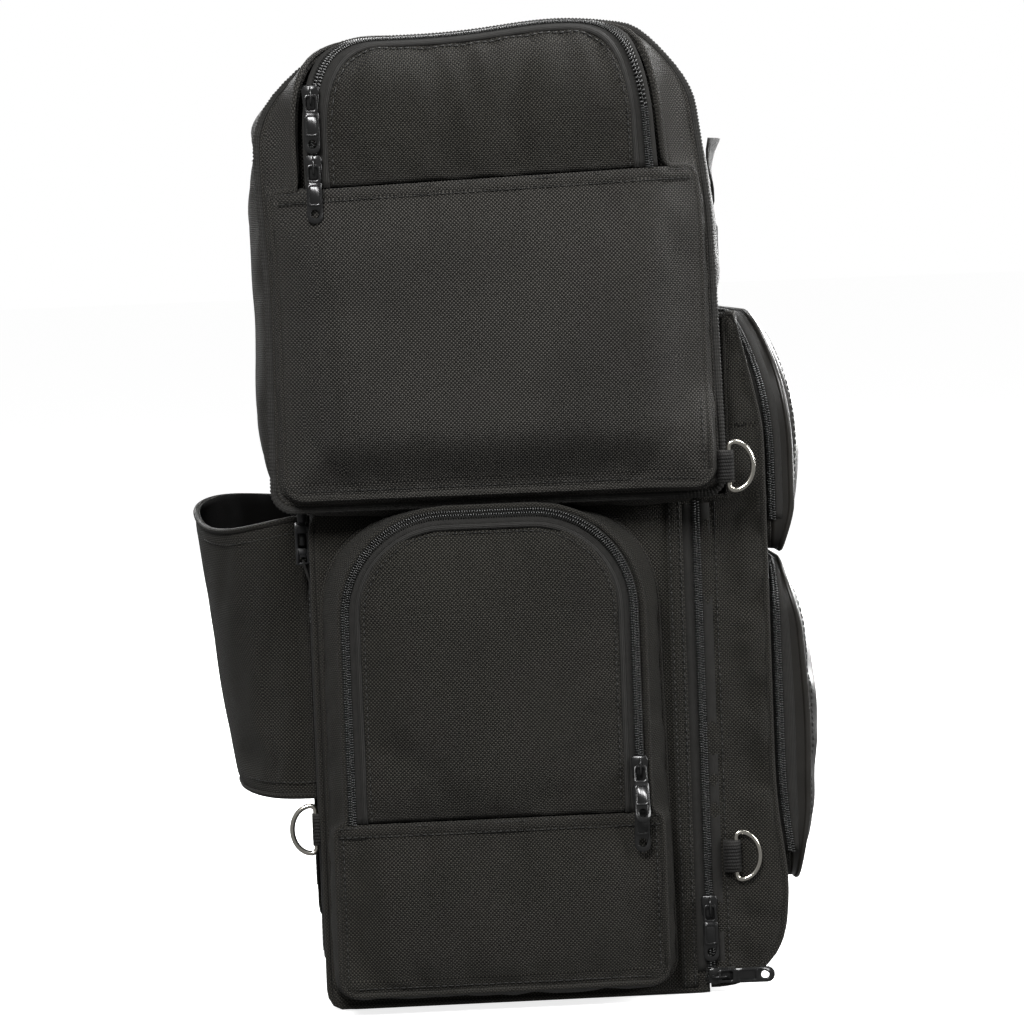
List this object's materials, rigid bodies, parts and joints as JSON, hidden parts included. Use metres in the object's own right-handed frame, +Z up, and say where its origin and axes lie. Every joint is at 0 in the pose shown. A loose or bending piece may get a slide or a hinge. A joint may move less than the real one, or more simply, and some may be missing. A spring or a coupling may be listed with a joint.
{
  "type": "motorcycle tail bag",
  "caption": "Upright motorcycle tail bag with a zipped drop-front door, side pockets, a sissy bar sleeve at the back and a roll bag buckled on top.",
  "frame": {"origin": "on the ground at the middle of the bag's footprint box", "axes": "+Z up, -Y towards the front pockets, +Y towards the sissy bar sleeve, +X across the bag; left is -X"},
  "size_m": [0.4726, 0.375, 0.6083],
  "materials": {
    "nylon": "woven ballistic nylon, matt",
    "vinyl": "smooth coated vinyl, soft gloss",
    "webbing": "ribbed polypropylene webbing",
    "buckle_plastic": "moulded acetal, satin",
    "board_plastic": "sheet polyethylene",
    "black_metal": "black enamel, glossy",
    "nickel": "nickel plate, polished"
  },
  "bodies": {
    "main_bag": {"main_shell": "nylon", "stiffener_board": "board_plastic", "sissy_bar_sleeve": "nylon", "side_pocket_left": "nylon", "front_strap_lower_left": "webbing", "front_socket_left": "buckle_plastic", "rear_strap_left": "webbing", "rear_socket_left": "buckle_plastic", "side_pocket_right": "nylon", "front_strap_lower_right": "webbing", "front_socket_right": "buckle_plastic", "rear_strap_right": "webbing", "rear_socket_right": "buckle_plastic"},
    "door": {"front_door": "nylon", "upper_pocket": "nylon", "lower_pocket": "nylon"},
    "upper_cover": {"upper_pocket_cover": "vinyl"},
    "lower_cover": {"lower_pocket_cover": "vinyl"},
    "roll_bag": {"roll_shell": "nylon", "end_pocket_left": "nylon", "front_strap_upper_left": "webbing", "front_plug_left": "buckle_plastic", "rear_plug_left": "buckle_plastic", "end_pocket_right": "nylon", "front_strap_upper_right": "webbing", "front_plug_right": "buckle_plastic", "rear_plug_right": "buckle_plastic"},
    "roll_lid": {"roll_lid": "nylon"},
    "side_flap_left": {"side_flap_left": "nylon"},
    "end_flap_left": {"end_flap_left": "nylon"},
    "door_ring_left": {"door_ring_left": "nickel"},
    "rear_ring_left": {"rear_ring_left": "nickel"},
    "roll_ring_left": {"roll_ring_left": "nickel"},
    "side_flap_right": {"side_flap_right": "nylon"},
    "end_flap_right": {"end_flap_right": "nylon"},
    "door_ring_right": {"door_ring_right": "nickel"},
    "rear_ring_right": {"rear_ring_right": "nickel"},
    "roll_ring_right": {"roll_ring_right": "nickel"},
    "main_zip_upper_slider": {"main_zip_upper_slider": "black_metal"},
    "main_zip_upper_pull": {"main_zip_upper_pull": "black_metal"},
    "main_zip_lower_slider": {"main_zip_lower_slider": "black_metal"},
    "main_zip_lower_pull": {"main_zip_lower_pull": "black_metal"},
    "side_zip_left_lower_slider": {"side_zip_left_lower_slider": "black_metal"},
    "side_zip_left_lower_pull": {"side_zip_left_lower_pull": "black_metal"},
    "side_zip_left_upper_slider": {"side_zip_left_upper_slider": "black_metal"},
    "side_zip_left_upper_pull": {"side_zip_left_upper_pull": "black_metal"},
    "side_zip_right_slider": {"side_zip_right_slider": "black_metal"},
    "side_zip_right_pull": {"side_zip_right_pull": "black_metal"},
    "end_zip_left_lower_slider": {"end_zip_left_lower_slider": "black_metal"},
    "end_zip_left_lower_pull": {"end_zip_left_lower_pull": "black_metal"},
    "end_zip_left_upper_slider": {"end_zip_left_upper_slider": "black_metal"},
    "end_zip_left_upper_pull": {"end_zip_left_upper_pull": "black_metal"},
    "end_zip_right_slider": {"end_zip_right_slider": "black_metal"},
    "end_zip_right_pull": {"end_zip_right_pull": "black_metal"},
    "upper_pocket_zip_slider": {"upper_pocket_zip_slider": "black_metal"},
    "upper_pocket_zip_pull": {"upper_pocket_zip_pull": "black_metal"},
    "lower_pocket_zip_slider": {"lower_pocket_zip_slider": "black_metal"},
    "lower_pocket_zip_pull": {"lower_pocket_zip_pull": "black_metal"},
    "roll_zip_slider": {"roll_zip_slider": "black_metal"},
    "roll_zip_pull": {"roll_zip_pull": "black_metal"}
  },
  "joints": [
    {"name": "door_hinge", "type": "hinge", "parent": "main_bag", "child": "door", "pos_m": [0, -0.121, 0.005], "axis": [1, 0, 0], "range_deg": [0, 45]},
    {"name": "upper_cover_hinge", "type": "hinge", "parent": "door", "child": "upper_cover", "pos_m": [0, -0.1875, 0.275], "axis": [1, 0, 0], "range_deg": [0, 85]},
    {"name": "lower_cover_hinge", "type": "hinge", "parent": "door", "child": "lower_cover", "pos_m": [0, -0.1875, 0.066], "axis": [1, 0, 0], "range_deg": [0, 85]},
    {"name": "roll_lift", "type": "slide", "parent": "main_bag", "child": "roll_bag", "axis": [0, 0, 1], "range_m": [0, 0.25]},
    {"name": "roll_lid_hinge", "type": "hinge", "parent": "roll_bag", "child": "roll_lid", "pos_m": [0, 0.0614, 0.6], "axis": [-1, 0, 0], "range_deg": [0, 110]},
    {"name": "side_flap_left_hinge", "type": "hinge", "parent": "main_bag", "child": "side_flap_left", "pos_m": [-0.21, 0.0115, 0.1206], "axis": [0, -1, 0], "range_deg": [0, 125]},
    {"name": "end_flap_left_hinge", "type": "hinge", "parent": "roll_bag", "child": "end_flap_left", "pos_m": [-0.228, 0.006, 0.5136], "axis": [0, -1, 0], "range_deg": [0, 125]},
    {"name": "door_ring_left_swing", "type": "hinge", "parent": "door", "child": "door_ring_left", "pos_m": [-0.1784, -0.139, 0.086], "axis": [0, 0, -1], "range_deg": [0, 120]},
    {"name": "rear_ring_left_swing", "type": "hinge", "parent": "main_bag", "child": "rear_ring_left", "pos_m": [-0.166, 0.1224, 0.113], "axis": [0, 0, 1], "range_deg": [-75, 75]},
    {"name": "roll_ring_left_swing", "type": "hinge", "parent": "roll_bag", "child": "roll_ring_left", "pos_m": [-0.213, -0.139, 0.332], "axis": [0, 0, -1], "range_deg": [-30, 95]},
    {"name": "side_flap_right_hinge", "type": "hinge", "parent": "main_bag", "child": "side_flap_right", "pos_m": [0.21, 0.0115, 0.1206], "axis": [0, 1, 0], "range_deg": [0, 125]},
    {"name": "end_flap_right_hinge", "type": "hinge", "parent": "roll_bag", "child": "end_flap_right", "pos_m": [0.228, 0.006, 0.5136], "axis": [0, 1, 0], "range_deg": [0, 125]},
    {"name": "door_ring_right_swing", "type": "hinge", "parent": "door", "child": "door_ring_right", "pos_m": [0.1784, -0.139, 0.086], "axis": [0, 0, 1], "range_deg": [0, 120]},
    {"name": "rear_ring_right_swing", "type": "hinge", "parent": "main_bag", "child": "rear_ring_right", "pos_m": [0.166, 0.1224, 0.113], "axis": [0, 0, 1], "range_deg": [-75, 75]},
    {"name": "roll_ring_right_swing", "type": "hinge", "parent": "roll_bag", "child": "roll_ring_right", "pos_m": [0.213, -0.139, 0.332], "axis": [0, 0, 1], "range_deg": [-30, 95]},
    {"name": "main_zip_upper_travel", "type": "slide", "parent": "main_bag", "child": "main_zip_upper_slider", "axis": [0, 0, 1], "range_m": [0, 0.22]},
    {"name": "main_zip_upper_pull_swing", "type": "hinge", "parent": "main_zip_upper_slider", "child": "main_zip_upper_pull", "pos_m": [-0.1806, -0.121, 0.0555], "axis": [0, 1, 0], "range_deg": [0, 150]},
    {"name": "main_zip_lower_travel", "type": "slide", "parent": "main_bag", "child": "main_zip_lower_slider", "axis": [0, 1, 0], "range_m": [0, 0.006]},
    {"name": "main_zip_lower_pull_swing", "type": "hinge", "parent": "main_zip_lower_slider", "child": "main_zip_lower_pull", "pos_m": [-0.1806, -0.1255, 0.011], "axis": [0, 0, -1], "range_deg": [0, 135]},
    {"name": "side_zip_left_lower_travel", "type": "slide", "parent": "main_bag", "child": "side_zip_left_lower_slider", "axis": [0, 0, 1], "range_m": [0, 0.045]},
    {"name": "side_zip_left_lower_pull_swing", "type": "hinge", "parent": "side_zip_left_lower_slider", "child": "side_zip_left_lower_pull", "pos_m": [-0.2156, -0.0775, 0.1315], "axis": [0, 1, 0], "range_deg": [0, 28]},
    {"name": "side_zip_left_upper_travel", "type": "slide", "parent": "side_zip_left_lower_slider", "child": "side_zip_left_upper_slider", "axis": [0, 0, 1], "range_m": [0, 0.045]},
    {"name": "side_zip_left_upper_pull_swing", "type": "hinge", "parent": "side_zip_left_upper_slider", "child": "side_zip_left_upper_pull", "pos_m": [-0.2156, -0.0775, 0.1495], "axis": [0, 1, 0], "range_deg": [0, 130]},
    {"name": "side_zip_right_travel", "type": "slide", "parent": "main_bag", "child": "side_zip_right_slider", "axis": [0, 0, 1], "range_m": [0, 0.1]},
    {"name": "side_zip_right_pull_swing", "type": "hinge", "parent": "side_zip_right_slider", "child": "side_zip_right_pull", "pos_m": [0.2156, -0.0775, 0.1315], "axis": [0, -1, 0], "range_deg": [0, 150]},
    {"name": "end_zip_left_lower_travel", "type": "slide", "parent": "roll_bag", "child": "end_zip_left_lower_slider", "axis": [0, 0, 1], "range_m": [0, 0.012]},
    {"name": "end_zip_left_lower_pull_swing", "type": "hinge", "parent": "end_zip_left_lower_slider", "child": "end_zip_left_lower_pull", "pos_m": [-0.2336, 0.1085, 0.5245], "axis": [0, 1, 0], "range_deg": [0, 150]},
    {"name": "end_zip_left_upper_travel", "type": "slide", "parent": "end_zip_left_lower_slider", "child": "end_zip_left_upper_slider", "axis": [0, 0, 1], "range_m": [0, 0.006]},
    {"name": "end_zip_left_upper_pull_swing", "type": "hinge", "parent": "end_zip_left_upper_slider", "child": "end_zip_left_upper_pull", "pos_m": [-0.2336, 0.1085, 0.5665], "axis": [0, 1, 0], "range_deg": [0, 150]},
    {"name": "end_zip_right_travel", "type": "slide", "parent": "roll_bag", "child": "end_zip_right_slider", "axis": [0, 0, 1], "range_m": [0, 0.03]},
    {"name": "end_zip_right_pull_swing", "type": "hinge", "parent": "end_zip_right_slider", "child": "end_zip_right_pull", "pos_m": [0.2336, 0.1085, 0.5245], "axis": [0, -1, 0], "range_deg": [0, 150]},
    {"name": "upper_pocket_zip_travel", "type": "slide", "parent": "door", "child": "upper_pocket_zip_slider", "axis": [0, 0, 1], "range_m": [0, 0.045]},
    {"name": "upper_pocket_zip_pull_swing", "type": "hinge", "parent": "upper_pocket_zip_slider", "child": "upper_pocket_zip_pull", "pos_m": [0.1656, -0.1705, 0.3015], "axis": [0, -1, 0], "range_deg": [0, 150]},
    {"name": "lower_pocket_zip_travel", "type": "slide", "parent": "door", "child": "lower_pocket_zip_slider", "axis": [0, 0, 1], "range_m": [0, 0.1]},
    {"name": "lower_pocket_zip_pull_swing", "type": "hinge", "parent": "lower_pocket_zip_slider", "child": "lower_pocket_zip_pull", "pos_m": [0.1706, -0.1705, 0.1135], "axis": [0, -1, 0], "range_deg": [0, 150]},
    {"name": "roll_zip_travel", "type": "slide", "parent": "roll_bag", "child": "roll_zip_slider", "axis": [0, 1, 0], "range_m": [-0.06, 0.014]},
    {"name": "roll_zip_pull_swing", "type": "hinge", "parent": "roll_zip_slider", "child": "roll_zip_pull", "pos_m": [0.161, 0.0315, 0.6056], "axis": [-1, 0, 0], "range_deg": [0, 150]}
  ]
}
